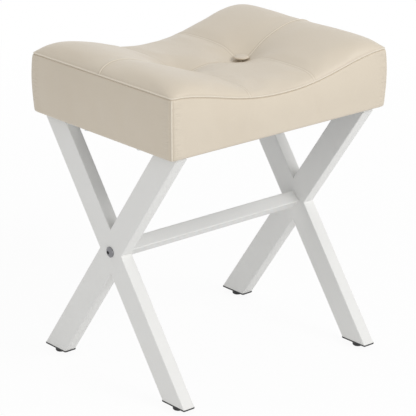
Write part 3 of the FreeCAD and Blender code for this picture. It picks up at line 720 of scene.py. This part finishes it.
# %% Finishes
class Finish(Net):
    """A material, with short methods for the nodes that it needs most."""

    def __init__(self, name):
        self.material = bpy.data.materials.new(name)
        self.material.use_nodes = True
        super().__init__(self.material.node_tree)
        self.shader = self.nodes["Principled BSDF"]

    def surface(self, **values):
        """Sets or links sockets of the shader, named in lower case."""
        for name, value in values.items():
            self.feed(self.shader.inputs[name.replace("_", " ").title()], value)

    def place(self, scale=(1, 1, 1)):
        """Object coordinates, in metres, multiplied by a scale."""
        where = self.node("ShaderNodeTexCoord", output="Object")
        return self.node("ShaderNodeMapping", None, {"Vector": where, "Scale": scale})

    def noise(self, where, scale, detail=2.0, roughness=0.5):
        sockets = {"Vector": where, "Scale": scale, "Detail": detail, "Roughness": roughness}
        return self.node("ShaderNodeTexNoise", None, sockets, "Fac")

    def cells(self, where, scale, feature="DISTANCE_TO_EDGE"):
        sockets = {"Vector": where, "Scale": scale}
        return self.node("ShaderNodeTexVoronoi", {"feature": feature}, sockets, "Distance")

    def attribute(self, name):
        """A number that is kept on the points of the mesh."""
        return self.node("ShaderNodeAttribute", {"attribute_name": name}, output="Fac")

    def colour_mix(self, share, first, second):
        sockets = {0: share, 6: first, 7: second}
        return self.node("ShaderNodeMix", {"data_type": "RGBA"}, sockets, 2)

    def relief(self, height, distance, strength, under=None):
        """Turns a height into a normal; distance is the depth in metres."""
        sockets = {"Height": height, "Distance": distance, "Strength": strength}
        if under is not None:
            sockets["Normal"] = under
        return self.node("ShaderNodeBump", None, sockets)


def dress(piece, finish):
    """Gives a piece one material."""
    piece.data.materials.clear()
    piece.data.materials.append(finish.material)


# %% [markdown]
# ## Leather
#
# The cover is soft artificial leather in cream. Its grain is a fine net of creases about a
# millimetre apart, which Voronoi cells give. A slow noise varies the colour a little, as
# dye does. The welts carry a painted highlight, a lighter cream along their crests, and the
# grooves beside them carry painted shade, a darker brown, and are duller too. Beside the
# upright seams the cover is gathered a little, which shows as faint level creases. The
# gloss is low, so light spreads in soft bands.

# %% Cream leather
cream = Finish("cream_leather")
here = cream.place()
pebble = cream.cells(here, 900)
crease_net = 1 - (pebble * 14).at_most(1.0)
fine_folds = cream.noise(here, 260, 3)
dye = cream.noise(here, 9, 2)
dark_cream, light_cream = (0.655, 0.575, 0.462), (0.705, 0.628, 0.515)
# The grain creases are the leather's own colour; the welt cream is a painted highlight and the groove
# brown is painted shade.
crease_cream, painted_highlight_cream, painted_shade_cream = (0.50, 0.41, 0.30), (0.86, 0.80, 0.69), (0.36, 0.28, 0.19)
in_groove = cream.attribute("groove")
tone = cream.colour_mix(dye, dark_cream, light_cream)
tone = cream.colour_mix(crease_net * 0.10, tone, crease_cream)
# Painted highlight along the welts, then painted shade in the seam grooves.
tone = cream.colour_mix(cream.attribute("welt_highlight") * 0.55, tone, painted_highlight_cream)
tone = cream.colour_mix(in_groove * 0.42, tone, painted_shade_cream)
grain_height = (pebble * 9).at_most(1.0) + fine_folds * 0.5
gathers = cream.noise(cream.place((12, 12, 110)), 3.2, 2, 0.55) * cream.attribute("gathered")
cream.surface(
    base_color=tone,
    roughness=0.31 + 0.12 * cream.noise(here, 35) + 0.14 * in_groove,
    normal=cream.relief(grain_height, 0.00005, 0.55, under=cream.relief(gathers, 0.0030, 0.6)),
)
for piece in [cushion] + buttons:
    dress(piece, cream)
print("Leather from", dark_cream, "to", light_cream)

# %% [markdown]
# ## Powder coat
#
# The frame is steel tube with a white powder coat, melted on in an oven. It is satin, with
# the faint ripple of orange peel about a millimetre wide, and it hides the steel all over.

# %% White powder coat
paint = Finish("white_powder_coat")
here = paint.place()
peel = paint.noise(here, 650, 2)
paint.surface(
    base_color=paint.colour_mix(paint.noise(here, 14), (0.815, 0.812, 0.792), (0.845, 0.843, 0.825)),
    roughness=0.36 + 0.14 * paint.noise(here, 60),
    normal=paint.relief(peel, 0.00006, 0.5),
)
print("Powder coat from", len(paint.nodes), "nodes")

# %% [markdown]
# ## Metal, plastic and the hidden layers
#
# The screws are bright plating, but their colour is a dark grey: a painted reflection of the
# dark surroundings that chrome mirrors. The hidden fasteners and the studs of the feet are
# zinc plated, and the end caps and pads are black moulded plastic. Underneath, a thin black
# cloth of pressed fibres closes the seat. Plywood, foam and twine are inside it.

# %% Metals
bright = Finish("chrome_with_painted_dark_reflection")
here = bright.place()
bright.surface(
    # Painted reflection: a dark grey base stands in for the dark surroundings mirrored in the chrome.
    base_color=(0.23, 0.23, 0.24),
    metallic=1.0,
    roughness=0.10 + 0.10 * bright.noise(here, 900, 3),
    normal=bright.relief(bright.noise(here, 400, 3), 0.00002, 0.4),
)

zinc = Finish("zinc_plating")
here = zinc.place()
frost = zinc.cells(here, 700, "F1")
zinc.surface(
    base_color=zinc.colour_mix(frost, (0.58, 0.60, 0.62), (0.70, 0.71, 0.71)),
    metallic=1.0,
    roughness=0.30 + 0.20 * zinc.noise(here, 500, 3),
    normal=zinc.relief(frost, 0.00003, 0.4),
)
print("Metals:", bright.material.name, "and", zinc.material.name)

# %% Black plastic
moulded = Finish("black_plastic")
here = moulded.place()
spark = moulded.noise(here, 1400, 2)
moulded.surface(
    base_color=moulded.colour_mix(moulded.noise(here, 80), (0.014, 0.014, 0.015), (0.026, 0.026, 0.027)),
    roughness=0.42 + 0.16 * moulded.noise(here, 300),
    normal=moulded.relief(spark, 0.00005, 0.6),
)
print("Plastic:", moulded.material.name)

# %% Plywood, foam and twine
plywood = Finish("plywood")
here = plywood.place()
grain = plywood.noise(plywood.place((6, 120, 120)), 6, 4, 0.6)
layer = plywood.node(
    "ShaderNodeTexWave", {"bands_direction": "Z", "wave_profile": "SIN"},
    {"Vector": here, "Scale": 65.0, "Distortion": 0.4, "Detail": 1.0}, "Fac",
)
board_tone = plywood.colour_mix(grain, (0.52, 0.35, 0.18), (0.72, 0.54, 0.33))
plywood.surface(
    base_color=plywood.colour_mix(layer * 0.45, board_tone, (0.40, 0.25, 0.12)),
    roughness=0.60 + 0.2 * grain,
    normal=plywood.relief(grain, 0.0002, 0.4),
)

foam = Finish("cream_foam")
here = foam.place()
pores = foam.cells(here, 800, "F1")
foam.surface(
    base_color=foam.colour_mix(pores, (0.70, 0.62, 0.38), (0.88, 0.82, 0.58)),
    roughness=0.9,
    normal=foam.relief(pores, 0.0004, 0.8),
)

twine = Finish("waxed_twine")
here = twine.place()
strand = twine.node(
    "ShaderNodeTexWave", {"bands_direction": "DIAGONAL"}, {"Vector": here, "Scale": 260.0}, "Fac",
)
twine.surface(
    base_color=twine.colour_mix(strand, (0.62, 0.58, 0.48), (0.80, 0.77, 0.68)),
    roughness=0.65,
    normal=twine.relief(strand, 0.0002, 0.8),
)
print("Inside:", plywood.material.name, foam.material.name, twine.material.name)

# %% Dust cloth
pressed_fibre = Finish("dust_cloth")
dots = pressed_fibre.cells(pressed_fibre.place((1, 1, 0)), 420, "F1")
fibres = pressed_fibre.noise(pressed_fibre.place((1, 3, 1)), 500, 5, 0.7)
pressed_fibre.surface(
    base_color=pressed_fibre.colour_mix(fibres, (0.012, 0.012, 0.013), (0.040, 0.040, 0.042)),
    roughness=0.78 + 0.15 * fibres,
    normal=pressed_fibre.relief(dots + fibres * 0.6, 0.00025, 0.7),
)
print("Underneath:", pressed_fibre.material.name)

# %% Give each carried-over node its finish
finish_of_slot = {
    "white_powder_coat": paint,
    "zinc_steel": zinc,
    "bright_screw": bright,
    "black_plastic": moulded,
    "cream_cover": cream,
    "plywood": plywood,
    "foam": foam,
    "twine": twine,
    "dust_cloth": pressed_fibre,
}
for part in frame["record"]["subparts"]:
    dress(frame["nodes"][part["node"]], finish_of_slot[part["material_slot"]])

# %% [markdown]
# ## Studio
#
# The stool stands on a plain white floor that runs into a white background. The whiteness
# is only for the camera and for reflections: the light on the stool comes from an even
# sky of a plain level, one large soft lamp in front, above and to the right, and a weak
# one low on the left, which lifts the inner faces of the legs. So each colour renders about
# as it is written, and the floor still takes the stool's shadow. From below, the floor is
# clear, so that the underside can be looked at.

# %% Sky
world = bpy.data.worlds.new("studio")
bpy.context.scene.world = world
world.use_nodes = True
white = (1, 1, 1)
sky_strength = 0.665


def seen_rays(net):
    """1 for rays of the camera and of mirroring or clear surfaces, and 0 for all others."""
    camera_rays, mirrored_rays, clear_rays = [
        net.node("ShaderNodeLightPath", output=f"Is {kind} Ray")
        for kind in ("Camera", "Glossy", "Transmission")
    ]
    return (camera_rays + mirrored_rays + clear_rays).at_most(1.0)


room = Net(world.node_tree)
sky = room.nodes["Background"]
room.feed(sky.inputs["Color"], white)
room.feed(sky.inputs["Strength"], sky_strength)
backdrop = room.node("ShaderNodeBackground", None, {"Color": white, "Strength": 1.0})
even_sky = Flow(room, sky.outputs[0])
choice = room.node("ShaderNodeMixShader", None, {0: seen_rays(room), 1: even_sky, 2: backdrop})
room.feed(room.nodes["World Output"].inputs["Surface"], choice)
print("Sky of strength", sky_strength)

# %% Lamp
def soft_lamp(name, place, aim, size, power):
    """A square lamp that is turned towards aim; size in metres and power in watts."""
    data = bpy.data.lights.new(name, "AREA")
    data.shape = "SQUARE"
    data.size = size
    data.energy = power
    lamp = bpy.data.objects.new(name, data)
    bpy.context.scene.collection.objects.link(lamp)
    lamp.location = place
    lamp.rotation_euler = (Vector(aim) - Vector(place)).to_track_quat("-Z", "Y").to_euler()
    print("Lamp", name, "of", power, "W")


soft_lamp("key", place=(0.6, -2.5, 2.3), aim=(0, 0, 0.25), size=1.3, power=37)
soft_lamp("fill", place=(-2.4, -2.0, 0.4), aim=(0, 0, 0.2), size=1.2, power=5)

# %% Floor
deselect_all()
bpy.ops.mesh.primitive_plane_add(size=14, location=(0, 0, 0))
floor = named("floor")
white_floor = Finish("white_floor")
white_floor.surface(base_color=(0.9, 0.9, 0.9), roughness=0.9)
lit = Flow(white_floor, white_floor.shader.outputs[0])
glow = white_floor.node("ShaderNodeEmission", None, {"Color": white, "Strength": 1.0})
from_middle = white_floor.node(
    "ShaderNodeVectorMath", {"operation": "LENGTH"}, {0: white_floor.place()}, "Value",
)
near_share, fade_start, fade_rate = 0.94, 0.6, 0.8
far_share = ((from_middle - fade_start) * fade_rate).at_least(0.0).at_most(1.0)
whitened = (near_share + (1 - near_share) * far_share) * seen_rays(white_floor)
from_above = white_floor.node("ShaderNodeMixShader", None, {0: whitened, 1: lit, 2: glow})

underneath = white_floor.node("ShaderNodeNewGeometry", output="Backfacing")
camera_rays = white_floor.node("ShaderNodeLightPath", output="Is Camera Ray")
clear = white_floor.node("ShaderNodeBsdfTransparent")
shown = white_floor.node(
    "ShaderNodeMixShader", None, {0: underneath * camera_rays, 1: from_above, 2: clear},
)
white_floor.feed(white_floor.nodes["Material Output"].inputs["Surface"], shown)
dress(floor, white_floor)

bpy.context.scene.view_settings.view_transform = "Standard"
